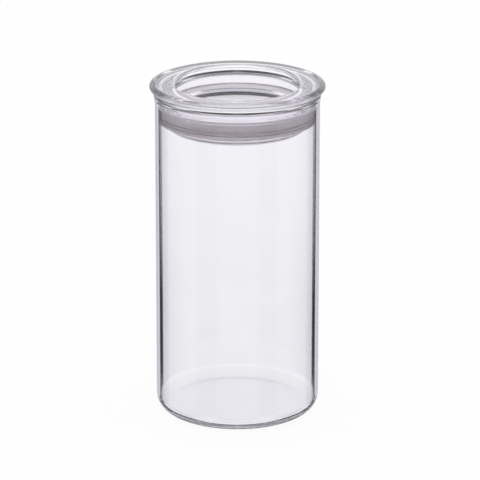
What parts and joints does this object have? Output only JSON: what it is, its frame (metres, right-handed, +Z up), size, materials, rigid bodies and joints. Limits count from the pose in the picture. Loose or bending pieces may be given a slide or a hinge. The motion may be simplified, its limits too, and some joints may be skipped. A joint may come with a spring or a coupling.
{
  "type": "lidded glass canister",
  "caption": "Straight clear glass storage jar with a thick glass stopper lid, sealed by a translucent silicone ring, for keeping dry food such as tea, coffee or grains.",
  "frame": {"origin": "middle of the jar's underside, on the surface that the canister stands on", "axes": "+Z up along the jar's axis; X and Y are alike, because every piece is turned about Z"},
  "size_m": [0.0854, 0.0854, 0.1671],
  "materials": {
    "jar_glass": "clear, fire-polished",
    "lid_glass": "clear, pressed and fire-polished",
    "silicone": "translucent, satin"
  },
  "bodies": {
    "jar": {"jar": "jar_glass"},
    "gasket": {"gasket": "silicone"},
    "lid": {"lid": "lid_glass"}
  },
  "joints": [
    {"name": "lid_lift", "type": "slide", "parent": "jar", "child": "gasket", "axis": [0, 0, 1], "range_m": [0, 0.06]},
    {"name": "lid_turn", "type": "hinge", "parent": "gasket", "child": "lid", "pos_m": [0, 0, 0.152], "axis": [0, 0, 1], "continuous": true}
  ]
}
